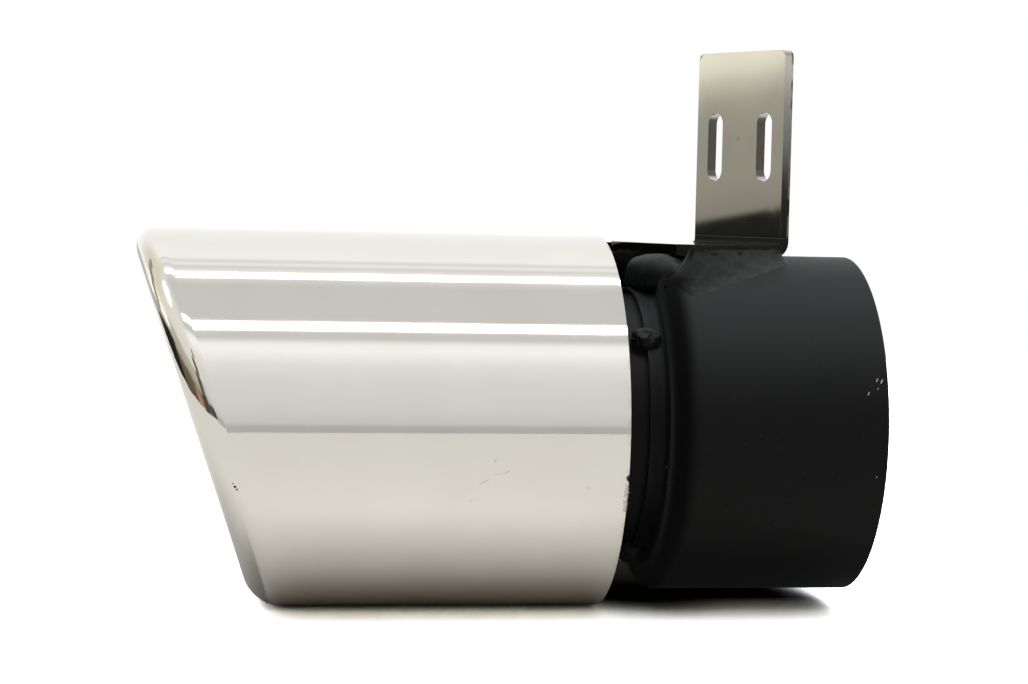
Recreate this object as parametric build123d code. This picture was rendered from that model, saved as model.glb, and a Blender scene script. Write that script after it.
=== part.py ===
"""Slash-cut exhaust tip: polished rolled-lip shell, inner liner, black slip-on can and slotted bracket.

Millimetres. The tube axis is X and the origin is the centre of the can's open rear mouth.
The slash-cut rim points to -X, the bracket stands up along +Z.
"""
import os
from math import cos, radians, sin, sqrt, tan

from build123d import *

# Polished outer shell: length is on the axis, from the rear edge to the slash plane
shell_od = 100.0
shell_wall = 1.2
shell_length = 108.5
slash_angle = 18.7
lip_return = 6.0

# Inner liner tube
liner_od = 70.0
liner_wall = 1.2

# Black can: length is from the open mouth to the front face, where the neck begins
can_od = 91.0
can_wall = 1.0
can_length = 56.2
shoulder_radius = 3.6
neck_radius = 2.0
neck_length = 4.8
neck_clearance = 1.0
shell_gap = 12.8

# Bent bracket: heights are above the underside of its foot
plate = 3.0
bracket_width = 36.5
bracket_turn = 25.7
foot_length = 30.5
foot_inset = 13.7
upright_height = 55.7
bend_radius = 1.0
corner_radius = 2.0
slot_width = 6.2
slot_length = 18.8
slot_spacing = 20.8
slot_height = 29.6

# Welds: tack angles count from the -Y side, upwards positive; bead levels are shares of the drop from
# the top of a bead to the can below the foot's corner, and the toe is the bead's spread at that drop
tack_length = 8.4
tack_width = 6.4
tack_height = 6.0
tack_angles = (40.0, -66.0, 169.0)
bead_top = 2.7
bead_strip = 0.5
bead_toe = 2.5
bead_levels = (0.0, 0.6, 1.2, 1.8)

# Positions that follow from the sizes above
can_r = can_od / 2
shell_r = shell_od / 2
liner_r = liner_od / 2
neck_bore_r = liner_r + neck_clearance
neck_r = neck_bore_r + can_wall
face_x = -can_length
neck_x = face_x - neck_length
shell_rear_x = face_x - shell_gap
rim_x = shell_rear_x - shell_length
rim_slope = tan(radians(slash_angle))
lip_r = (shell_r - liner_r) / 2
foot_frame = Pos(face_x + foot_inset, 0, can_r) * Rot(0, 0, bracket_turn)


def rod(radius, x_from, x_to):
    """Solid cylinder along X."""
    return Pos((x_from + x_to) / 2, 0, 0) * Rot(0, 90, 0) * Cylinder(radius, x_to - x_from)


def outline(points, radii):
    """Closed face in the XZ plane with a rounding at each corner."""
    return make_face(FilletPolyline(*[(x, 0, z) for x, z in points], radius=radii, close=True))


def in_front_of_slash(x):
    """Block to cut away: all that lies ahead of the slash plane crossing the axis at x."""
    block = Pos(-2 * shell_od, 0, 0) * Box(4 * shell_od, 4 * shell_od, 4 * shell_od)
    return Pos(x, 0, 0) * Rot(0, -slash_angle, 0) * block


def tube(radius, wall, front_x, rear_x):
    """Round tube with its front end cut along the slash and its rear end square."""
    far_x = front_x - shell_od
    walls = rod(radius, far_x, rear_x) - rod(radius - wall, far_x, rear_x)
    return walls - in_front_of_slash(front_x)


def make_shell():
    """Polished tube whose rim is rolled in, the roll leaned along X so that it lies in the slash plane."""
    roll_x = rim_x + lip_r
    inside = shell_r - shell_wall
    fold = liner_r + shell_wall
    crest = shell_r - lip_r
    section = [
        ThreePointArc((0, 0, shell_r), (-lip_r, 0, crest), (0, 0, liner_r)),
        Polyline((0, 0, liner_r), (lip_return, 0, liner_r), (lip_return, 0, fold), (0, 0, fold)),
        ThreePointArc((0, 0, fold), (shell_wall - lip_r, 0, crest), (0, 0, inside)),
        Line((0, 0, inside), (0, 0, shell_r)),
    ]
    square_roll = revolve(make_face(section), Axis.X)
    lean = Matrix([[1, 0, -rim_slope, roll_x], [0, 1, 0, 0], [0, 0, 1, 0]])
    return tube(shell_r, shell_wall, roll_x, shell_rear_x) + square_roll.transform_geometry(lean)


def make_liner():
    """Plain tube that starts inside the turned-in edge of the shell and ends in the can's neck."""
    return tube(liner_r, liner_wall, rim_x + lip_r + lip_return / 2, face_x + can_wall)


def make_can():
    """Drawn sleeve with a rounded shoulder and a short neck around the liner."""
    back_x = face_x + can_wall
    section = outline(
        [
            (0, can_r),
            (face_x, can_r),
            (face_x, neck_r),
            (neck_x, neck_r),
            (neck_x, neck_bore_r),
            (back_x, neck_bore_r),
            (back_x, can_r - can_wall),
            (0, can_r - can_wall),
        ],
        [0, shoulder_radius, neck_radius, 0, 0, neck_radius + can_wall, shoulder_radius - can_wall, 0],
    )
    return revolve(section, Axis.X)


def make_bracket():
    """Plate bent to an L, with two upright slots, turned about Z on the crest of the can."""
    front = foot_length / 2
    section = outline(
        [
            (-front, 0),
            (front + plate, 0),
            (front + plate, upright_height),
            (front, upright_height),
            (front, plate),
            (-front, plate),
        ],
        [0, bend_radius + plate, 0, 0, bend_radius, 0],
    )
    bent = extrude(section, amount=bracket_width / 2, both=True)
    top_corners = bent.edges().filter_by(Axis.X).group_by(Axis.Z)[-1]
    foot_corners = bent.edges().filter_by(Axis.Z).group_by(Axis.X)[0]
    bent = fillet(top_corners + foot_corners, corner_radius)
    slot = Rot(0, 90, 0) * extrude(SlotOverall(slot_length, slot_width), amount=plate, both=True)
    for side in (-1, 1):
        bent -= Pos(front + plate / 2, side * slot_spacing / 2, slot_height) * slot
    return foot_frame * bent


def make_tacks(can):
    """Weld blobs that hold the end of the can's neck to the liner."""
    blob = scale(Sphere(0.5), by=(tack_length, tack_width, tack_height))
    held = rod(liner_r, neck_x - tack_length, face_x) + rod(neck_r, neck_x, face_x) + can
    tacks = [Rot(90 - angle, 0, 0) * Pos(neck_x, 0, neck_r) * blob - held for angle in tack_angles]
    return Compound(children=tacks)


def make_beads():
    """Weld beads along the side edges of the foot, round-ended and flaring hollow-sided down to the can."""
    turn = radians(bracket_turn)
    corner = foot_length / 2 * sin(turn) + bracket_width / 2 * cos(turn)
    reach = bead_top + can_r - sqrt(can_r**2 - corner**2)
    sections = []
    for level in bead_levels:
        spread = bead_strip + bead_toe * level**2
        sections.append(Pos(0, 0, -level * reach) * SlotOverall(foot_length + 2 * spread, 2 * spread))
    flare = Pos(0, -bracket_width / 2, bead_top) * loft(sections)
    under_foot = Box(3 * foot_length, bracket_width, 6 * reach)
    bead = foot_frame * (flare - under_foot)
    can_body = rod(can_r, 2 * face_x, 0)
    half_turn = foot_frame * Rot(0, 0, 180) * foot_frame.inverse()
    return Compound(children=[bead - can_body, half_turn * bead - can_body])


can = make_can()
parts = {
    "tip_shell": make_shell(),
    "inner_liner": make_liner(),
    "rear_can": can,
    "bracket": make_bracket(),
    "neck_tacks": make_tacks(can),
    "bracket_welds": make_beads(),
}

os.makedirs("parts", exist_ok=True)
for name, part in parts.items():
    export_step(part, f"parts/{name}.step")
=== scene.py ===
"""Looks of the slash-cut exhaust tip: polished shell, liner, black can, bare bracket and painted welds.

Metres, in the CAD frame: the tube axis is X, the slash rim points to -X, the bracket stands up along +Z
and the camera looks from the -Y side.
"""
import random
from math import asin, copysign, cos, hypot, pi, radians, sin, sqrt

import bmesh
import bpy
from mathutils import Matrix, Vector


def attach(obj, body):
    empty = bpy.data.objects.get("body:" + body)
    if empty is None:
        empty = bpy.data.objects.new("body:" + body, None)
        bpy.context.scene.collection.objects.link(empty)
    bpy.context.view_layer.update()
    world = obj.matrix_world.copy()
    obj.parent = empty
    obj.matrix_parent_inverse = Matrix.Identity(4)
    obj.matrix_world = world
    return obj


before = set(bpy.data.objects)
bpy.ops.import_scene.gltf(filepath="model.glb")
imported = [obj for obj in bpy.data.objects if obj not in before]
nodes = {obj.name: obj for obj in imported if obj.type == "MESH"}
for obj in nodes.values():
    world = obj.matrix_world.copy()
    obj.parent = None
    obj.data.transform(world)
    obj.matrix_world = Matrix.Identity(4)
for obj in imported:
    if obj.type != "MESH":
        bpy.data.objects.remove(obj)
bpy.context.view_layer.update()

MM = 0.001

# Camera: place, and turns in degrees, for an image 1028 pixels wide
IMAGE_WIDTH = 1028
FOCAL_PIXELS = 2500
CAMERA_PLACE = Vector((-199.3, -664.6, 60.1)) * MM
CAMERA_YAW = 9.23
CAMERA_PITCH = 3.33
CAMERA_ROLL = 1.32
SENSOR_WIDTH = 36.0

# Plain light for matt surfaces, from above and the front, warmer low down: level by the angle about the
# tube axis, from the camera side's horizon up and over, and the same below the horizon
DOME_STOPS = (
    (0, 0.06),
    (20, 0.075),
    (37, 0.3),
    (50, 1.0),
    (60, 1.95),
    (75, 2.05),
    (95, 1.9),
    (107, 1.6),
    (111, 0.4),
    (116, 0.015),
    (180, 0.006),
)
DOME_WARM = (60, 30)
DOME_TINT = (1.0, 0.88, 0.66)
# It is weaker towards the tube's two ends: a direction's X there and in the middle, and the share of
# light at each
DOME_SIDES = (0.9, 0.4)
DOME_SIDE_SHARES = (0.15, 1.3)

# Studio seen in the metal: level by the same angle
WALL_STOPS = (
    (-6, 0.56),
    (0.4, 0.57),
    (1.8, 0.74),
    (10, 0.84),
    (27, 0.91),
    (37, 1.02),
    (46, 1.26),
    (50, 1.2),
    (53.7, 0.78),
    (66, 0.77),
    (91, 0.76),
    (94, 0.84),
    (104.5, 1.05),
    (107.3, 0.88),
    (110.4, 1.15),
    (113.5, 0.92),
    (116.5, 1.2),
    (135, 1.13),
    (180, 1.08),
)
# Strip lights in it: middle and half width in degrees, their soft edge and how steeply it falls, their
# level, and where they end, by a direction's X
STRIP_LIGHTS = ((61.7, 2.9), (99.9, 2.6))
STRIP_EDGE = 1.6
STRIP_FALL = 3.0
STRIP_LEVEL = 11.0
STRIP_END = (-0.45, -0.15)

# Room on the left, from a direction's X of the first value to the second. Its skyline falls towards
# the rear.
LEFT_SHARE = (-0.3, -0.65)
SKYLINE_SLOPE = 0.21
SKYLINE_ZERO = 0.41
LEFT_STOPS = (
    (-0.3, (0.14, 0.1, 0.065)),
    (-0.2, (0.18, 0.135, 0.085)),
    (-0.11, (0.18, 0.16, 0.1)),
    (-0.07, (0.42, 0.41, 0.33)),
    (-0.03, (0.5, 0.5, 0.4)),
    (0.04, (0.6, 0.57, 0.48)),
    (0.12, (0.6, 0.59, 0.5)),
    (0.2, (0.95, 0.93, 0.88)),
    (0.5, (1.0, 0.98, 0.95)),
)
# The same room towards the rear, from a direction's Y of the first value to the second
REAR_SHARE = (0.1, 0.32)
SKYLINE_EDGE = (-0.0058, -0.0032)
SKYLINE_DARK = (0.022, 0.024, 0.02)
REAR_STOPS = (
    (-0.01, 0.36),
    (0.0, 0.44),
    (0.01, 0.51),
    (0.026, 0.52),
    (0.036, 0.58),
    (0.041, 0.67),
    (0.0455, 0.85),
    (0.0495, 1.04),
    (0.053, 1.28),
    (0.058, 1.46),
    (0.08, 1.5),
    (0.12, 1.3),
    (0.25, 0.95),
    (0.4, 0.9),
)
REAR_TINT = (1.0, 0.97, 0.85)
# Room on the right, in the same way, by a direction's Z
RIGHT_SHARE = (0.35, 0.7)
RIGHT_STOPS = (
    (-0.02, 0.028),
    (0.0016, 0.036),
    (0.0055, 0.047),
    (0.0094, 0.076),
    (0.0133, 0.175),
    (0.0172, 0.28),
    (0.0211, 0.37),
    (0.025, 0.45),
    (0.033, 0.52),
    (0.0406, 0.65),
    (0.0445, 0.79),
    (0.0484, 1.06),
    (0.0523, 1.27),
    (0.06, 1.35),
    (0.12, 1.3),
    (0.5, 0.9),
)
RIGHT_TINT = (1.0, 0.98, 0.92)
# Things in the room: azimuth from straight behind the part, elevation and radius in degrees, colour
ROOM_THINGS = (
    (-49, 4, 5, (0.3, 0.3, 0.28)),
    (-49, 14, 5, (0.3, 0.3, 0.28)),
    (-50, 24, 4, (0.34, 0.34, 0.31)),
    (-120, -8, 8, (0.5, 0.28, 0.2)),
    (-156, -3, 6, (0.085, 0.085, 0.08)),
    (-141, -3, 8, (0.09, 0.085, 0.085)),
    (-140, 9, 6, (0.14, 0.12, 0.11)),
    (-142, 20, 5, (0.17, 0.14, 0.13)),
    (-144, 29, 3, (0.35, 0.34, 0.32)),
    (-92, 44, 9, (2.2, 2.2, 2.2)),
)
# Soft edge of each thing, as shares of its radius
THING_EDGE = (1.25, 0.75)

# Floor: height, half lengths, place of its middle, its points and the power that rounds its corners,
# and its colour
FLOOR_Z = -50.0 * MM
FLOOR_HALF = (0.9, 1.0)
FLOOR_MIDDLE = (0.45, 0.05)
FLOOR_POINTS = 96
FLOOR_POWER = 4
FLOOR_COLOUR = (0.89, 0.885, 0.865)
# Its white as the camera sees it, by Y in metres: lifted near the part, where less light reaches it
FLOOR_SEEN = (
    (-0.3, 1.6),
    (-0.06, 1.9),
    (-0.046, 2.1),
    (-0.038, 2.4),
    (-0.030, 2.9),
    (-0.022, 4.0),
    (-0.014, 7.0),
    (0.0, 7.0),
    (0.02, 4.0),
)
FLOOR_TINT = (1.0, 1.04, 1.1)
# Painted shadow of the part on the floor behind it: where it fades in and out along X and along Y in
# millimetres, and its colour
SHADE_LEFT = (-160.0, -130.0)
SHADE_RIGHT = (4.0, -14.0)
SHADE_FRONT = (-3.0, 9.0)
SHADE_BACK = (140.0, 60.0)
SHADE_SEEN = (0.07, 0.07, 0.068)
# Painted deep shade on the floor under the neck: centre and reach in millimetres, and its colour
NECK_SHADES = (((-52.0, 44.0, 0.0), (24.0, 56.0, 1.0)),)
NECK_SHADE_SEEN = (0.02, 0.02, 0.018)

# Sizes of the part that its finish follows, in millimetres
SHELL_R = 50.0
SHELL_WALL = 1.2
SHELL_REAR_X = -69.0
CAN_R = 45.5
CAN_FACE_X = -56.2
SHOULDER = 3.6
PLATE = 3.0
FOOT_PLACE = (-42.5, 0.0, 45.5)
FOOT_HALF = 15.25
BRACKET_HALF = 18.25
BRACKET_TURN = 25.7
FOOT_MATRIX = Matrix.Translation(Vector(FOOT_PLACE) * MM) @ Matrix.Rotation(radians(BRACKET_TURN), 4, "Z")
CORNER = Vector((-FOOT_HALF, -BRACKET_HALF, 0))
CORNER_PLACE = Matrix.Rotation(radians(BRACKET_TURN), 3, "Z") @ CORNER * MM

# Weld along the foot, in millimetres: its straight part along the edge, height, flat strip, widest
# spread, spread per height, depth of its toe and of its underside in the can, and room at the can's face
FOOT_WELD_ENDS = (-14.3, 14.0)
FOOT_WELD_TOP = 2.8
FOOT_WELD_STRIP = 0.6
FOOT_WELD_WIDEST = 6.5
FOOT_WELD_SPREAD = 0.95
FOOT_WELD_TOE = 0.25
FOOT_WELD_UNDER = 0.6
FOOT_WELD_FACE = 0.4
# Its grid: first place and count of points along the edge and across it, and their spacing
FOOT_WELD_ALONG = (-23, 101)
FOOT_WELD_ACROSS = (-26, 38)
FOOT_WELD_STEP = 0.45
# Blobs of weld under the foot's end, in millimetres: place, reach out, along, up and down, and turn
# in degrees
HOLLOW_BLOB = ((-61.4, 1.5, 41.0), (6.2, 6.5, 5.2, 5.2), 0.0)
OVERHANG_BLOB = ((-54.3, -10.0, 37.5), (6.0, 15.5, 8.3, 1.4), BRACKET_TURN)
BLOB_TURNS = 40
BLOB_LEVELS = 24
BLOB_BLUNT = 0.75
# Closer to the axis than the wall's radius they end at the wall's X, inside the can's front wall, and
# none of them reaches into the neck's bore
BLOB_WALL_X = -55.7
BLOB_WALL_RADIUS = 44.9
BLOB_NECK_RADIUS = 36.4

# Polish and steel of the shell and the liner
STEEL_COLOURS = ((0.70, 0.68, 0.625), (0.75, 0.735, 0.685))
STEEL_INSIDE = (0.30, 0.29, 0.27)
STEEL_GROUND = (0.4, 0.34, 0.27)
STEEL_TORN = (0.42, 0.37, 0.3)
SCRATCH_COLOUR = (0.3, 0.25, 0.17)
SCRATCH_SHARE = 0.4
SPECK_COLOUR = (0.03, 0.03, 0.03)
MARK_ROUGH = 0.4
LINER_COLOURS = ((0.34, 0.33, 0.31), (0.46, 0.45, 0.42))
LINER_STAIN = (0.22, 0.2, 0.17)
# Where the shell's polish ends inside the mouth, by X in millimetres
POLISH_END = (-167.0, -159.0)

# Black paint: its two tones, painted light where it faces up on the can and on the welds, specks of dust,
# and painted shade in dull black where it is dark
PAINT_COLOURS = ((0.0034, 0.0036, 0.0036), (0.0048, 0.0051, 0.0052))
CAN_TOP_LIGHT = (0.0225, 0.024, 0.0255)
WELD_TOP_LIGHT = (0.034, 0.036, 0.038)
DUST_COLOUR = (0.03, 0.03, 0.032)
PAINTED_SHADE_COLOUR = (0.0008, 0.0008, 0.0008)
PAINTED_SHADE_ROUGH = 0.95
PIT_SHADE_COLOUR = (0.006, 0.006, 0.006)
CAN_INSIDE = (0.16, 0.155, 0.15)
CHIP_COLOUR = (0.36, 0.35, 0.33)
SHEEN_TINT = (0.85, 0.94, 1.0, 1.0)
# Stretches of painted shade on it, in millimetres: from where to where each fades in
SHOULDER_X = (-49.0, -53.5)
LOW_X = (-50.0, -54.0)
LOW_Z = (-10.0, -30.0)
WELD_SHADE_X = ((-46.5, -53.0), (-57.0, -55.5))
WELD_SHADE_Z = ((30.0, 33.0), (42.0, 39.5))
# Bare metal inside the can, by X
BARE_X = (-10.0, -26.0)

# Bracket: bright plate, cut edges, painted shade on the walls of the slots, rust, a speck and mist of
# paint
PLATE_COLOURS = ((0.50, 0.485, 0.44), (0.57, 0.555, 0.51))
CUT_COLOUR = (0.36, 0.36, 0.355)
SLOT_WALL_SHADE = (0.11, 0.106, 0.095)
RUST_COLOUR = (0.13, 0.085, 0.05)
PLATE_SPECK = (0.3, 0.29, 0.26)
MIST_COLOUR = (0.006, 0.006, 0.006)
MIST_FALL = 6.0
# Mist by the bend, the foot's sides and its corner, and painted shade on the slots' walls, in millimetres
BEND_RISE = (5.8, 4.7)
BEND_ALONG = (12.0, 14.0)
SIDE_RISE = (5.5, 3.2)
CORNER_MIST = (6.8, 6.4)
SLOT_RISE = (12.0, 16.0)

# Soft edges of marks, as shares of their reach or half width
SPOT_EDGE = (1.35, 0.65)
STROKE_EDGE = (1.4, 0.5)
# Marks: centre and reach along X, Y and Z, in millimetres
SHELL_SPECKS = (
    ((-168.0, -47.9, -13.0), (0.35, 1.0, 0.4)),
    ((-167.5, -47.8, -13.7), (0.25, 1.0, 0.25)),
    ((-168.5, -47.9, -12.2), (0.2, 1.0, 0.2)),
    ((-69.0, -48.9, -10.3), (0.7, 1.2, 0.9)),
)
BRACKET_SPECKS = (((-29.0, 7.1, 77.3), (0.45, 0.45, 0.6)),)
BRACKET_RUST = (((-23.6, 1.5, 74.9), (1.3, 1.3, 1.0)), ((-23.9, 1.2, 73.4), (0.8, 0.8, 0.7)))
WELD_PITS = (
    ((-41.5, -20.4, 46.1), (1.6, 1.6, 0.5)),
    ((-33.9, -16.8, 46.3), (1.4, 1.4, 0.5)),
    ((-22.2, -11.1, 46.7), (1.0, 1.0, 0.4)),
)
# Scratches and chips: the two ends and half the width, in millimetres
SHELL_SCRATCHES = (
    ((-103.5, -49.6, -6.3), (-103.2, -49.7, -5.6), 0.17),
    ((-107.0, -48.5, -12.0), (-105.0, -48.8, -10.9), 0.16),
    ((-103.8, -49.1, -9.6), (-100.6, -49.2, -9.1), 0.1),
    ((-100.6, -49.2, -9.1), (-99.7, -49.3, -8.6), 0.18),
    ((-108.9, -47.2, -16.5), (-108.7, -47.4, -16.0), 0.12),
    ((-79.6, -48.3, -12.9), (-78.9, -48.3, -12.9), 0.12),
    ((-69.5, -50.0, 1.0), (-69.45, -49.2, -9.0), 0.13),
)
CAN_CHIPS = (
    ((-3.1, -43.1, 14.4), (-2.75, -42.9, 15.2), 0.13),
    ((-1.95, -43.2, 14.1), (-1.5, -43.0, 14.95), 0.17),
    ((-2.95, -43.75, 12.45), (-2.7, -43.65, 12.95), 0.08),
    ((-5.6, -44.1, 11.05), (-5.25, -43.95, 11.75), 0.12),
    ((-2.7, -44.35, -10.35), (-2.55, -44.3, -10.05), 0.1),
    ((-56.65, -36.75, -8.95), (-56.5, -36.65, -8.45), 0.15),
    ((-56.25, -36.55, -12.8), (-56.15, -36.45, -12.4), 0.15),
)
# Torn stretch of the shell's rear edge: its heights, how far it reaches in from the edge, its side of
# the tube by Y, and the steps of its burr and their random seed
TORN_LOW = -19.0
TORN_HIGH = -11.5
TORN_REACH = 0.5
TORN_SIDE = (-20.0, -30.0)
BURR_STEPS = 48
BURR_SEED = 5


def socket_value(tree, target, value):
    """Link a socket, or set a constant on it."""
    if isinstance(value, bpy.types.NodeSocket):
        tree.links.new(value, target)
    else:
        target.default_value = value


def node(tree, kind, inputs=None, **props):
    """New node with its properties and inputs set."""
    made = tree.nodes.new(kind)
    for name, value in props.items():
        setattr(made, name, value)
    for key, value in (inputs or {}).items():
        socket_value(tree, made.inputs[key], value)
    return made


def calc(tree, operation, a, b=0.0, c=0.0):
    """Math node result."""
    made = node(tree, "ShaderNodeMath", {0: a, 1: b, 2: c}, operation=operation)
    return made.outputs[0]


def vector_calc(tree, operation, a, b=(0, 0, 0)):
    """Vector math node result."""
    made = node(tree, "ShaderNodeVectorMath", {0: a, 1: b}, operation=operation)
    return made.outputs["Value" if operation in ("DOT_PRODUCT", "LENGTH") else "Vector"]


def split(tree, vector):
    """X, Y and Z of a vector."""
    return node(tree, "ShaderNodeSeparateXYZ", {0: vector}).outputs


def product(tree, total, *others):
    """Values multiplied together."""
    for other in others:
        total = calc(tree, "MULTIPLY", total, other)
    return total


def largest(tree, total, *others):
    """Largest of the values."""
    for other in others:
        total = calc(tree, "MAXIMUM", total, other)
    return total


def blend(tree, factor, a, b):
    """Colour between a and b."""
    made = node(tree, "ShaderNodeMix", data_type="RGBA")
    socket_value(tree, made.inputs["Factor"], factor)
    for name, value in (("A", a), ("B", b)):
        target = [s for s in made.inputs if s.name == name and s.type == "RGBA"][0]
        socket_value(tree, target, (*value, 1.0) if isinstance(value, tuple) else value)
    return [s for s in made.outputs if s.type == "RGBA"][0]


def between(tree, factor, a, b):
    """Number between a and b."""
    return node(tree, "ShaderNodeMix", {0: factor, 2: a, 3: b}, data_type="FLOAT").outputs[0]


def ramp(tree, value, low, high, to_low=0.0, to_high=1.0, smooth=True):
    """Value mapped from low..high to to_low..to_high, clamped."""
    made = node(
        tree,
        "ShaderNodeMapRange",
        {"Value": value, "From Min": low, "From Max": high, "To Min": to_low, "To Max": to_high},
        interpolation_type="SMOOTHSTEP" if smooth else "LINEAR",
    )
    return made.outputs["Result"]


def fade(tree, value, limits):
    """Share from 0 to 1 between two limits in millimetres."""
    return ramp(tree, value, limits[0] * MM, limits[1] * MM)


def level_ramp(tree, value, stops, tint=(1.0, 1.0, 1.0)):
    """Tinted levels, or colours, at stops along a value."""
    low, high = stops[0][0], stops[-1][0]
    share = ramp(tree, value, low, high, smooth=False)
    made = node(tree, "ShaderNodeValToRGB", {"Fac": share})
    elements = made.color_ramp.elements
    while len(elements) < len(stops):
        elements.new(0.5)
    for element, (place, level) in zip(elements, stops):
        element.position = (place - low) / (high - low)
        colour = level if isinstance(level, tuple) else [level * t for t in tint]
        element.color = (*colour, 1.0)
    return made.outputs["Color"]


def make_camera():
    """Camera at the photograph's place."""
    yaw, pitch, roll = (radians(a) for a in (CAMERA_YAW, CAMERA_PITCH, CAMERA_ROLL))
    ahead = Vector((sin(yaw), cos(yaw), 0))
    right = Vector((cos(yaw), -sin(yaw), 0))
    up = Vector((0, 0, 1))
    forward = ahead * cos(pitch) - up * sin(pitch)
    top = up * cos(pitch) + ahead * sin(pitch)
    across = right * cos(roll) + top * sin(roll)
    upright = top * cos(roll) - right * sin(roll)
    data = bpy.data.cameras.new("camera")
    data.sensor_width = SENSOR_WIDTH
    data.lens = SENSOR_WIDTH * FOCAL_PIXELS / IMAGE_WIDTH
    data.clip_start = 0.01
    camera = bpy.data.objects.new("camera", data)
    bpy.context.scene.collection.objects.link(camera)
    turn = Matrix((across, upright, -forward)).transposed().to_4x4()
    camera.matrix_world = Matrix.Translation(CAMERA_PLACE) @ turn
    bpy.context.scene.camera = camera


def studio_light(tree, direction, x, y, z, angle):
    """Pale walls with two strip lights along the tube, and a room on each side."""
    light = level_ramp(tree, angle, WALL_STOPS)
    strip_share = ramp(tree, x, *STRIP_END)
    for centre, half in STRIP_LIGHTS:
        off = calc(tree, "ABSOLUTE", calc(tree, "SUBTRACT", angle, centre))
        inside = calc(tree, "POWER", ramp(tree, off, half + STRIP_EDGE, half - STRIP_EDGE), STRIP_FALL)
        light = blend(tree, product(tree, inside, strip_share), light, (STRIP_LEVEL,) * 3)
    behind = calc(tree, "SUBTRACT", calc(tree, "MAXIMUM", y, 0.0), SKYLINE_ZERO)
    skyline = calc(tree, "MULTIPLY_ADD", behind, SKYLINE_SLOPE, z)
    left = level_ramp(tree, skyline, LEFT_STOPS)
    rear = level_ramp(tree, skyline, REAR_STOPS, REAR_TINT)
    rear = blend(tree, ramp(tree, skyline, *SKYLINE_EDGE), SKYLINE_DARK, rear)
    left = blend(tree, ramp(tree, y, *REAR_SHARE), left, rear)
    light = blend(tree, ramp(tree, x, *LEFT_SHARE), light, left)
    right = level_ramp(tree, z, RIGHT_STOPS, RIGHT_TINT)
    light = blend(tree, ramp(tree, x, *RIGHT_SHARE), light, right)
    for azimuth, elevation, radius, colour in ROOM_THINGS:
        side, lift = radians(azimuth), radians(elevation)
        aim = (cos(lift) * sin(side), cos(lift) * cos(side), sin(lift))
        near = vector_calc(tree, "DOT_PRODUCT", direction, aim)
        inside = ramp(tree, near, *(cos(radians(radius * share)) for share in THING_EDGE))
        light = blend(tree, inside, light, colour)
    return light


def make_world():
    """Plain dome for matt surfaces, the studio in the metal, and white behind the part."""
    world = bpy.data.worlds.new("studio")
    bpy.context.scene.world = world
    world.use_nodes = True
    tree = world.node_tree
    tree.nodes.clear()
    direction = node(tree, "ShaderNodeTexCoord").outputs["Generated"]
    x, y, z = split(tree, direction)
    angle = product(tree, calc(tree, "ARCTAN2", z, product(tree, y, -1.0)), 180 / pi)
    path = node(tree, "ShaderNodeLightPath").outputs
    rise = calc(tree, "ABSOLUTE", angle)
    light = level_ramp(tree, rise, DOME_STOPS)
    warm = level_ramp(tree, rise, DOME_STOPS, DOME_TINT)
    light = blend(tree, ramp(tree, rise, *DOME_WARM), light, warm)
    sides = ramp(tree, calc(tree, "ABSOLUTE", x), *DOME_SIDES, *DOME_SIDE_SHARES)
    light = vector_calc(tree, "MULTIPLY", light, sides)
    first = calc(tree, "LESS_THAN", path["Diffuse Depth"], 0.5)
    mirrored = product(tree, path["Is Glossy Ray"], first)
    light = blend(tree, mirrored, light, studio_light(tree, direction, x, y, z, angle))
    light = blend(tree, path["Is Camera Ray"], light, (1.0, 1.0, 1.0))
    background = node(tree, "ShaderNodeBackground", {"Color": light, "Strength": 1.0})
    out = node(tree, "ShaderNodeOutputWorld")
    tree.links.new(background.outputs[0], out.inputs["Surface"])


def new_material(name):
    """Material with an empty tree, its shader and output."""
    material = bpy.data.materials.new(name)
    material.use_nodes = True
    tree = material.node_tree
    tree.nodes.clear()
    shader = node(tree, "ShaderNodeBsdfPrincipled")
    out = node(tree, "ShaderNodeOutputMaterial")
    tree.links.new(shader.outputs[0], out.inputs["Surface"])
    return material, tree, shader


def object_place(tree):
    """Place on the part, in metres."""
    return node(tree, "ShaderNodeTexCoord").outputs["Object"]


def surface_normal(tree):
    """Direction that the surface faces."""
    return node(tree, "ShaderNodeNewGeometry").outputs["Normal"]


def noise(tree, place, size, detail=3.0, stretch=(1, 1, 1), output="Fac"):
    """Noise from 0 to 1 with features about size metres across."""
    scaled = vector_calc(tree, "MULTIPLY", place, tuple(s / size for s in stretch))
    made = node(tree, "ShaderNodeTexNoise", {"Vector": scaled, "Scale": 1.0, "Detail": detail})
    return made.outputs[output]


def ragged(tree, place, size, amount):
    """Place pushed about by noise, for ragged outlines."""
    push = vector_calc(tree, "SUBTRACT", noise(tree, place, size, output="Color"), (0.5, 0.5, 0.5))
    return vector_calc(tree, "ADD", place, vector_calc(tree, "MULTIPLY", push, (amount,) * 3))


def axis_radius(tree, place):
    """Distance from the tube axis."""
    return vector_calc(tree, "LENGTH", vector_calc(tree, "MULTIPLY", place, (0, 1, 1)))


def inner_face(tree, place):
    """Share from 0 to 1 on faces that look towards the tube axis."""
    outward = vector_calc(tree, "NORMALIZE", vector_calc(tree, "MULTIPLY", place, (0, 1, 1)))
    return ramp(tree, vector_calc(tree, "DOT_PRODUCT", surface_normal(tree), outward), -0.1, -0.4)


def spots(tree, place, marks):
    """Share from 0 to 1 inside a set of marks."""
    total = None
    for centre, reach in marks:
        away = vector_calc(tree, "SUBTRACT", place, tuple(c * MM for c in centre))
        scaled = vector_calc(tree, "DIVIDE", away, tuple(r * MM for r in reach))
        inside = ramp(tree, vector_calc(tree, "LENGTH", scaled), *SPOT_EDGE)
        total = inside if total is None else largest(tree, total, inside)
    return total


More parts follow.
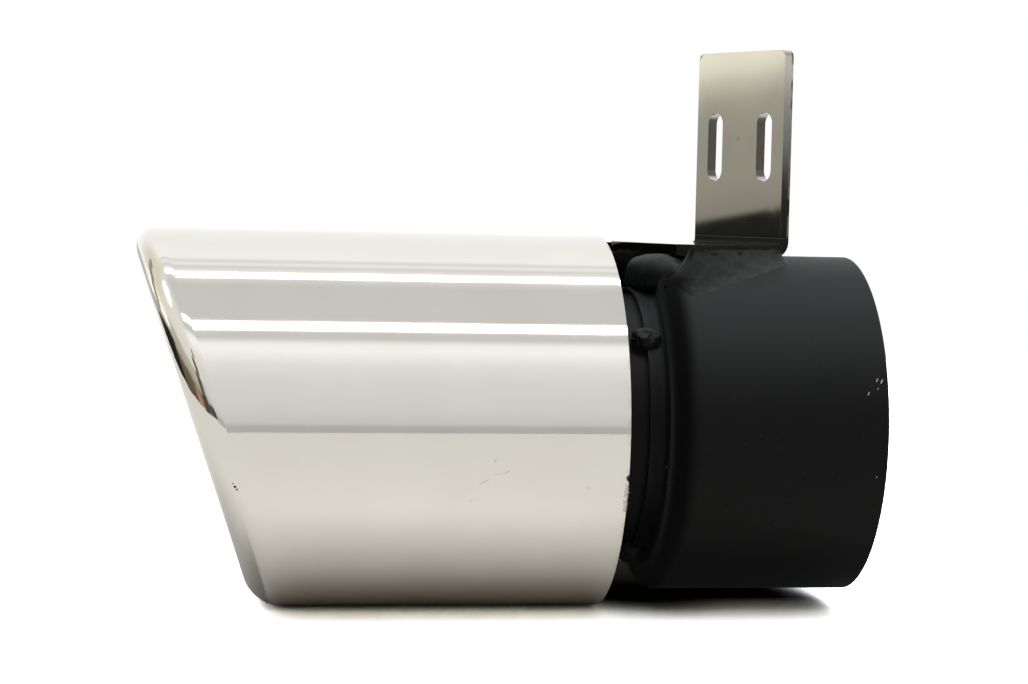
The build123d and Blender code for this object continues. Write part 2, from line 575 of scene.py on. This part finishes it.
def strokes(tree, place, marks):
    """Share from 0 to 1 inside a set of straight scratches or chips."""
    total = None
    for start, end, half in marks:
        run = (Vector(end) - Vector(start)) * MM
        away = vector_calc(tree, "SUBTRACT", place, tuple(v * MM for v in start))
        along = vector_calc(tree, "DOT_PRODUCT", away, tuple(run))
        share = ramp(tree, along, 0.0, run.length_squared, smooth=False)
        off = vector_calc(tree, "SUBTRACT", away, vector_calc(tree, "MULTIPLY", tuple(run), share))
        inside = fade(tree, vector_calc(tree, "LENGTH", off), [edge * half for edge in STROKE_EDGE])
        total = inside if total is None else largest(tree, total, inside)
    return total


def bump(tree, shader, height, strength, distance):
    """Bump on the shader's normal."""
    made = node(tree, "ShaderNodeBump", {"Height": height, "Strength": strength, "Distance": distance})
    tree.links.new(made.outputs["Normal"], shader.inputs["Normal"])


def make_floor():
    """Pale floor with rounded corners, seen as white and keeping the part's shadow, with a painted shadow
    behind the part and painted deep shade under the neck.
    """
    points = []
    for i in range(FLOOR_POINTS):
        turn = 2 * pi * i / FLOOR_POINTS
        c, s = cos(turn), sin(turn)
        reach = (c ** FLOOR_POWER + s ** FLOOR_POWER) ** (-1 / FLOOR_POWER)
        spread = [middle + half * v * reach for middle, half, v in zip(FLOOR_MIDDLE, FLOOR_HALF, (c, s))]
        points.append((*spread, 0))
    mesh = bpy.data.meshes.new("floor")
    mesh.from_pydata(points, [], [list(range(FLOOR_POINTS))])
    floor = bpy.data.objects.new("floor", mesh)
    floor.location.z = FLOOR_Z
    bpy.context.scene.collection.objects.link(floor)
    material, tree, shader = new_material("floor")
    seen = node(tree, "ShaderNodeLightPath").outputs["Is Camera Ray"]
    place = object_place(tree)
    x, y, _ = split(tree, place)
    limits = ((x, SHADE_LEFT), (x, SHADE_RIGHT), (y, SHADE_FRONT), (y, SHADE_BACK))
    # painted shadow: the floor's white darkens behind the part
    shade = product(tree, *(fade(tree, value, pair) for value, pair in limits))
    white = blend(tree, shade, level_ramp(tree, y, FLOOR_SEEN, FLOOR_TINT), SHADE_SEEN)
    # painted deep shade on the floor under the neck
    white = blend(tree, spots(tree, place, NECK_SHADES), white, NECK_SHADE_SEEN)
    tree.links.new(blend(tree, seen, FLOOR_COLOUR, white), shader.inputs["Base Color"])
    shader.inputs["Roughness"].default_value = 0.9
    shader.inputs["Specular IOR Level"].default_value = 0.0
    mesh.materials.append(material)


def polished_steel():
    """Buffed stainless with specks and scratches, a torn stretch of rear edge and a dull inside."""
    material, tree, shader = new_material("polished_steel")
    place = object_place(tree)
    x, y, z = split(tree, place)
    haze = noise(tree, place, 18 * MM)
    fine = noise(tree, place, 0.6 * MM, stretch=(1, 0.1, 0.1))
    wall = (SHELL_R - 0.4 * SHELL_WALL, SHELL_R - 0.7 * SHELL_WALL)
    dull = product(tree, fade(tree, axis_radius(tree, place), wall), fade(tree, x, POLISH_END))
    uneven_x = split(tree, ragged(tree, place, 1.2 * MM, 1.4 * MM))[0]
    edge = fade(tree, uneven_x, (SHELL_REAR_X - 0.9, SHELL_REAR_X - 0.3))
    ground = product(tree, edge, ramp(tree, noise(tree, place, 5 * MM), 0.5, 0.65, 0.0, 0.3))
    torn_x = SHELL_REAR_X - TORN_REACH
    crumpled = noise(tree, place, 0.7 * MM, stretch=(1, 0.4, 0.4))
    torn = product(
        tree,
        fade(tree, uneven_x, (torn_x - 0.4, torn_x + 0.4)),
        fade(tree, z, (TORN_LOW - 1.5, TORN_LOW + 0.5)),
        fade(tree, z, (TORN_HIGH + 1.5, TORN_HIGH - 0.5)),
        fade(tree, y, TORN_SIDE),
        ramp(tree, crumpled, 0.3, 0.7, 0.5, 1.0),
    )
    scratch = strokes(tree, ragged(tree, place, 0.8 * MM, 0.3 * MM), SHELL_SCRATCHES)
    scratch = product(tree, scratch, SCRATCH_SHARE)
    speck = spots(tree, ragged(tree, place, 0.5 * MM, 0.5 * MM), SHELL_SPECKS)
    colour = blend(tree, haze, *STEEL_COLOURS)
    colour = blend(tree, dull, colour, STEEL_INSIDE)
    colour = blend(tree, ground, colour, STEEL_GROUND)
    colour = blend(tree, torn, colour, STEEL_TORN)
    colour = blend(tree, scratch, colour, SCRATCH_COLOUR)
    colour = blend(tree, speck, colour, SPECK_COLOUR)
    tree.links.new(colour, shader.inputs["Base Color"])
    rough = calc(tree, "ADD", ramp(tree, haze, 0.3, 0.8, 0.03, 0.055), product(tree, fine, 0.02))
    for share in (dull, ground, torn, scratch, speck):
        rough = between(tree, share, rough, MARK_ROUGH)
    tree.links.new(rough, shader.inputs["Roughness"])
    shader.inputs["Metallic"].default_value = 1.0
    return material


def paint_colours(tree, place, top_light_colour):
    """Colour, roughness and grain of matt black paint: dust specks, and painted light where it faces up.
    """
    cloud = noise(tree, place, 25 * MM)
    grain = noise(tree, place, 0.35 * MM)
    dust = ramp(tree, noise(tree, place, 1.1 * MM, detail=1.0), 0.7, 0.76)
    upward = split(tree, surface_normal(tree))[2]
    # painted light: paler, a little patchy, on faces that look up
    top_light = product(tree, ramp(tree, upward, 0.05, 0.8), ramp(tree, cloud, 0.3, 0.7, 0.8, 1.0))
    colour = blend(tree, cloud, *PAINT_COLOURS)
    colour = blend(tree, top_light, colour, top_light_colour)
    colour = blend(tree, product(tree, dust, 0.25), colour, DUST_COLOUR)
    rough = calc(tree, "ADD", ramp(tree, cloud, 0.3, 0.7, 0.4, 0.47), product(tree, grain, 0.1))
    return colour, rough, grain


def soft_sheen(shader):
    """Faint cool bloom of matt paint seen at a slant."""
    shader.inputs["Sheen Weight"].default_value = 0.05
    shader.inputs["Sheen Roughness"].default_value = 0.45
    shader.inputs["Sheen Tint"].default_value = SHEEN_TINT


def black_paint():
    """Matt black paint on the can: painted shade, darker and duller, on the shoulder, low at the front
    and underneath, chipped at a few places, and worn to dull metal deep inside.
    """
    material, tree, shader = new_material("black_paint")
    place = object_place(tree)
    x, _, z = split(tree, place)
    normal = split(tree, surface_normal(tree))
    colour, rough, grain = paint_colours(tree, place, CAN_TOP_LIGHT)
    chip = strokes(tree, ragged(tree, place, 0.5 * MM, 0.2 * MM), CAN_CHIPS)
    shoulder = product(
        tree,
        fade(tree, x, SHOULDER_X),
        ramp(tree, normal[0], -1.0, -0.8),
        ramp(tree, normal[2], 0.98, 0.85),
        fade(tree, axis_radius(tree, place), (CAN_R - SHOULDER - 0.6, CAN_R - SHOULDER + 0.7)),
    )
    low = product(tree, fade(tree, x, LOW_X), fade(tree, z, LOW_Z))
    below = ramp(tree, normal[2], -0.45, -0.85, 0.0, 0.9)
    # painted shade: darker, duller paint on the shoulder, low at the front and underneath
    shaded = largest(tree, shoulder, low, below)
    mist = ramp(tree, noise(tree, place, 6 * MM), 0.2, 0.8, -6 * MM, 6 * MM)
    bare = product(tree, inner_face(tree, place), fade(tree, calc(tree, "ADD", x, mist), BARE_X))
    colour = blend(tree, shaded, colour, PAINTED_SHADE_COLOUR)
    colour = blend(tree, bare, colour, CAN_INSIDE)
    colour = blend(tree, chip, colour, CHIP_COLOUR)
    tree.links.new(colour, shader.inputs["Base Color"])
    rough = between(tree, shaded, rough, PAINTED_SHADE_ROUGH)
    tree.links.new(between(tree, bare, rough, 0.42), shader.inputs["Roughness"])
    tree.links.new(largest(tree, bare, chip), shader.inputs["Metallic"])
    shader.inputs["Specular IOR Level"].default_value = 0.08
    soft_sheen(shader)
    bump(tree, shader, grain, 0.2, 0.04 * MM)
    return material


def painted_weld():
    """The same paint over a rippled weld, painted shade in its pits and where it meets the can's
    shoulder.
    """
    material, tree, shader = new_material("painted_weld")
    place = object_place(tree)
    x, _, z = split(tree, place)
    colour, rough, grain = paint_colours(tree, place, WELD_TOP_LIGHT)
    ripple = noise(tree, place, 1.6 * MM)
    # painted shade in a few pits of the weld
    pit = spots(tree, ragged(tree, place, 1.0 * MM, 1.0 * MM), WELD_PITS)
    # painted shade where the weld meets the can's shoulder
    limits = ((x, WELD_SHADE_X[0]), (z, WELD_SHADE_Z[0]), (z, WELD_SHADE_Z[1]), (x, WELD_SHADE_X[1]))
    weld_shade = product(tree, *(fade(tree, value, pair) for value, pair in limits))
    colour = blend(tree, pit, colour, PIT_SHADE_COLOUR)
    colour = blend(tree, weld_shade, colour, PAINTED_SHADE_COLOUR)
    tree.links.new(colour, shader.inputs["Base Color"])
    rough = between(tree, pit, rough, 0.7)
    tree.links.new(between(tree, weld_shade, rough, PAINTED_SHADE_ROUGH), shader.inputs["Roughness"])
    shader.inputs["Specular IOR Level"].default_value = 0.12
    soft_sheen(shader)
    bump(tree, shader, calc(tree, "ADD", ripple, product(tree, grain, 0.1)), 0.5, 0.3 * MM)
    return material


def hollow_shade_weld():
    """Weld deep under the foot's end: dull, with black painted shade over it."""
    material, _, shader = new_material("hollow_shade_weld")
    shader.inputs["Base Color"].default_value = (*PAINTED_SHADE_COLOUR, 1.0)
    shader.inputs["Roughness"].default_value = PAINTED_SHADE_ROUGH
    shader.inputs["Specular IOR Level"].default_value = 0.05
    return material


def liner_steel():
    """Tube with black paint outside and dull, streaked steel inside."""
    material, tree, shader = new_material("liner_steel")
    place = object_place(tree)
    # the paint outside carries the same painted light where it faces up
    colour, rough, grain = paint_colours(tree, place, CAN_TOP_LIGHT)
    inside = inner_face(tree, place)
    streak = noise(tree, place, 2.5 * MM, stretch=(0.08, 1, 1))
    cloud = noise(tree, place, 22 * MM)
    steel = blend(tree, streak, *LINER_COLOURS)
    steel = blend(tree, ramp(tree, cloud, 0.45, 0.75, 0.0, 0.5), steel, LINER_STAIN)
    tree.links.new(blend(tree, inside, colour, steel), shader.inputs["Base Color"])
    rough = between(tree, inside, rough, ramp(tree, streak, 0.3, 0.7, 0.28, 0.38))
    tree.links.new(rough, shader.inputs["Roughness"])
    tree.links.new(inside, shader.inputs["Metallic"])
    shader.inputs["Specular IOR Level"].default_value = 0.09
    bump(tree, shader, grain, 0.15, 0.03 * MM)
    return material


def paint_mist(tree, place, away, along, across, rise):
    """Share from 0 to 1 of paint on the bracket: by its bend, the sides of its foot and one corner."""
    misty = calc(tree, "MULTIPLY_ADD", noise(tree, place, 2 * MM), 2 * MM, -1 * MM)
    by_bend = product(tree, fade(tree, rise, BEND_RISE), fade(tree, along, BEND_ALONG))
    side_off = calc(tree, "ADD", calc(tree, "ABSOLUTE", across), misty)
    by_side = fade(tree, side_off, (BRACKET_HALF - 1.6, BRACKET_HALF - 0.4))
    by_side = product(tree, by_side, fade(tree, rise, SIDE_RISE))
    corner = vector_calc(tree, "SUBTRACT", away, tuple(CORNER_PLACE))
    corner_off = vector_calc(tree, "LENGTH", vector_calc(tree, "MULTIPLY", corner, (1, 1, 0)))
    by_corner = fade(tree, calc(tree, "ADD", corner_off, misty), CORNER_MIST)
    return largest(tree, by_bend, by_side, by_corner)


def bare_steel():
    """Bright bracket plate: dull cut edges, painted shade in the slots, a rusty rear arris, a speck,
    paint mist.
    """
    material, tree, shader = new_material("bare_steel")
    place = object_place(tree)
    turn = radians(BRACKET_TURN)
    ahead = (cos(turn), sin(turn), 0)
    away = vector_calc(tree, "SUBTRACT", place, tuple(v * MM for v in FOOT_PLACE))
    along = vector_calc(tree, "DOT_PRODUCT", away, ahead)
    across = vector_calc(tree, "DOT_PRODUCT", away, (-sin(turn), cos(turn), 0))
    rise = split(tree, away)[2]
    normal = surface_normal(tree)
    upward = calc(tree, "ABSOLUTE", split(tree, normal)[2])
    facing = calc(tree, "ABSOLUTE", vector_calc(tree, "DOT_PRODUCT", normal, ahead))
    cut = ramp(tree, largest(tree, facing, upward), 0.75, 0.4)
    side = fade(tree, calc(tree, "ABSOLUTE", across), (BRACKET_HALF - 0.8, BRACKET_HALF - 0.3))
    rear = FOOT_HALF + PLATE
    arris = product(tree, side, fade(tree, along, (rear - 0.9, rear - 0.3)))
    rust = product(tree, arris, ramp(tree, noise(tree, place, 9 * MM), 0.42, 0.55))
    rust = largest(tree, rust, spots(tree, ragged(tree, place, MM, MM), BRACKET_RUST))
    cloud = noise(tree, place, 20 * MM)
    grain = noise(tree, place, 0.4 * MM)
    speck = spots(tree, ragged(tree, place, 0.4 * MM, 0.4 * MM), BRACKET_SPECKS)
    paint = paint_mist(tree, place, away, along, across, rise)
    # painted shade on the walls of the slots
    slot_wall = product(tree, cut, calc(tree, "SUBTRACT", 1.0, side), fade(tree, rise, SLOT_RISE))
    colour = blend(tree, cloud, *PLATE_COLOURS)
    colour = blend(tree, cut, colour, CUT_COLOUR)
    colour = blend(tree, slot_wall, colour, SLOT_WALL_SHADE)
    colour = blend(tree, rust, colour, RUST_COLOUR)
    colour = blend(tree, speck, colour, PLATE_SPECK)
    colour = blend(tree, paint, colour, MIST_COLOUR)
    tree.links.new(colour, shader.inputs["Base Color"])
    covered = calc(tree, "POWER", paint, MIST_FALL)
    rough = calc(tree, "ADD", ramp(tree, cloud, 0.3, 0.7, 0.015, 0.025), product(tree, grain, 0.01))
    for share, level in ((cut, 0.06), (slot_wall, 0.3), (rust, 0.4), (covered, 0.5), (speck, 0.4)):
        rough = between(tree, share, rough, level)
    tree.links.new(rough, shader.inputs["Roughness"])
    tree.links.new(calc(tree, "SUBTRACT", 1.0, covered), shader.inputs["Metallic"])
    shader.inputs["Specular IOR Level"].default_value = 0.12
    bump(tree, shader, grain, 0.03, 0.01 * MM)
    return material


def add_piece(name, grid, material):
    """New piece from rings of points, closed round each ring and at both ends."""
    mesh_data = bmesh.new()
    rings = [[mesh_data.verts.new(point) for point in ring] for ring in grid]
    for ring, following in zip(rings, rings[1:]):
        for i in range(len(ring)):
            j = (i + 1) % len(ring)
            mesh_data.faces.new((ring[i], ring[j], following[j], following[i]))
    mesh_data.faces.new(rings[0])
    mesh_data.faces.new(rings[-1])
    bmesh.ops.recalc_face_normals(mesh_data, faces=mesh_data.faces)
    for face in mesh_data.faces:
        face.smooth = True
    mesh = bpy.data.meshes.new(name)
    mesh_data.to_mesh(mesh)
    mesh_data.free()
    piece = bpy.data.objects.new(name, mesh)
    bpy.context.scene.collection.objects.link(piece)
    mesh.materials.append(material)
    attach(piece, "root")
    return piece


def make_edge_burr(material):
    """Ragged lip along the torn stretch of the shell's rear edge."""
    draw = random.Random(BURR_SEED)
    rings = []
    for i in range(BURR_STEPS + 1):
        angle = asin((TORN_LOW + (TORN_HIGH - TORN_LOW) * i / BURR_STEPS) / SHELL_R)
        taper = sin(pi * (i + 0.3) / (BURR_STEPS + 0.6)) ** 0.5
        section = (
            (-0.6 - draw.uniform(0, 0.6) * taper, 0.0),
            (-0.2, 0.02 + draw.uniform(0, 0.2) * taper),
            (draw.uniform(0, 0.9) * taper, -draw.uniform(0.1, 0.6)),
            (-0.1, -SHELL_WALL),
        )
        ring = []
        for back, out in section:
            radius = SHELL_R + out
            ring.append(Vector((SHELL_REAR_X + back, -radius * cos(angle), radius * sin(angle))) * MM)
        rings.append(ring)
    add_piece("edge_burr", rings, material)


def can_height(x, y):
    """Height of the can's crest side above the tube axis, shoulder included, in millimetres."""
    into = max(CAN_FACE_X + SHOULDER - x, 0)
    radius = CAN_R - SHOULDER + sqrt(max(SHOULDER ** 2 - into ** 2, 0))
    return sqrt(radius ** 2 - y ** 2)


def make_foot_weld(material):
    """Weld along the foot's near edge, round both its corners, running out smoothly on the can."""
    middle = FOOT_WELD_STRIP - BRACKET_HALF
    rings = []
    for i in range(FOOT_WELD_ALONG[1]):
        u = FOOT_WELD_ALONG[0] + FOOT_WELD_STEP * i
        top = []
        under = []
        for k in range(FOOT_WELD_ACROSS[1]):
            v = FOOT_WELD_ACROSS[0] + FOOT_WELD_STEP * k
            place = FOOT_MATRIX @ (Vector((u, v, 0)) * MM) / MM
            x = max(place.x, CAN_FACE_X + FOOT_WELD_FACE)
            can = can_height(x, place.y)
            height = FOOT_PLACE[2] + FOOT_WELD_TOP - can
            past_end = max(FOOT_WELD_ENDS[0] - u, u - FOOT_WELD_ENDS[1], 0)
            off = max(hypot(past_end, v - middle) - FOOT_WELD_STRIP, 0)
            share = min(off / min(FOOT_WELD_SPREAD * height, FOOT_WELD_WIDEST), 1)
            lift = height * (1 - share) ** 2 - FOOT_WELD_TOE * share ** 2
            top.append(Vector((x, place.y, can + lift)) * MM)
            under.append(Vector((x, place.y, can - FOOT_WELD_UNDER)) * MM)
        rings.append(top + under[::-1])
    return add_piece("foot_weld", rings, material)


def make_blob(name, shape, material):
    """Weld under the foot's overhanging end, kept out of the hollow inside the can and the neck."""
    centre, (out, along, up, down), angle = shape
    turned = Matrix.Rotation(radians(angle), 3, "Z")
    rings = []
    for k in range(BLOB_LEVELS + 1):
        lean = pi * (k + 0.25) / (BLOB_LEVELS + 0.5)
        ring = []
        for i in range(BLOB_TURNS):
            turn = 2 * pi * i / BLOB_TURNS
            across, rise = (copysign(abs(c) ** BLOB_BLUNT, c) for c in (cos(turn), sin(turn)))
            height = up if rise > 0 else down
            offset = Vector((out * sin(lean) * across, along * cos(lean), height * sin(lean) * rise))
            x, y, z = Vector(centre) + turned @ offset
            radius = hypot(y, z)
            if radius < BLOB_WALL_RADIUS:
                x = min(x, BLOB_WALL_X)
            lift = max(1.0, BLOB_NECK_RADIUS / radius)
            ring.append(Vector((x, y * lift, z * lift)) * MM)
        rings.append(ring)
    return add_piece(name, rings, material)


def make_lumpy(piece, size, amount):
    """Uneven surface of a weld, by displacement."""
    piece.modifiers.new("join", "WELD").merge_threshold = 0.01 * MM
    split = piece.modifiers.new("split", "SUBSURF")
    split.subdivision_type = "SIMPLE"
    split.levels = 1
    split.render_levels = 1
    lumps = bpy.data.textures.new("lumps", "CLOUDS")
    lumps.noise_scale = size
    lumps.noise_depth = 2
    push = piece.modifiers.new("push", "DISPLACE")
    push.texture = lumps
    push.texture_coords = "LOCAL"
    push.strength = amount


def ease_edges(piece, width):
    """Small rounding on the cut edges of a plate."""
    piece.modifiers.new("join", "WELD").merge_threshold = 0.01 * MM
    rounding = piece.modifiers.new("rounding", "BEVEL")
    rounding.width = width
    rounding.segments = 2
    rounding.limit_method = "ANGLE"
    rounding.angle_limit = radians(50)
    piece.modifiers.new("normals", "WEIGHTED_NORMAL").keep_sharp = False


def dress(name, material):
    """Give a CAD node its material."""
    nodes[name].data.materials.clear()
    nodes[name].data.materials.append(material)


make_camera()
make_world()
make_floor()
weld = painted_weld()
polished = polished_steel()
dress("tip_shell", polished)
dress("inner_liner", liner_steel())
dress("rear_can", black_paint())
dress("bracket", bare_steel())
dress("neck_tacks", weld)
dress("bracket_welds", weld)
make_edge_burr(polished)
ease_edges(nodes["bracket"], width=0.3 * MM)
make_lumpy(nodes["neck_tacks"], size=2.2 * MM, amount=1.2 * MM)
make_lumpy(nodes["bracket_welds"], size=2.5 * MM, amount=0.3 * MM)
make_lumpy(make_foot_weld(weld), size=3 * MM, amount=0.35 * MM)
# the weld in the hollow under the foot's end is dull black, painted shade
make_lumpy(make_blob("hollow_weld", HOLLOW_BLOB, hollow_shade_weld()), size=3 * MM, amount=1.0 * MM)
make_lumpy(make_blob("overhang_weld", OVERHANG_BLOB, weld), size=3 * MM, amount=0.35 * MM)

bpy.context.scene.view_settings.view_transform = "Standard"
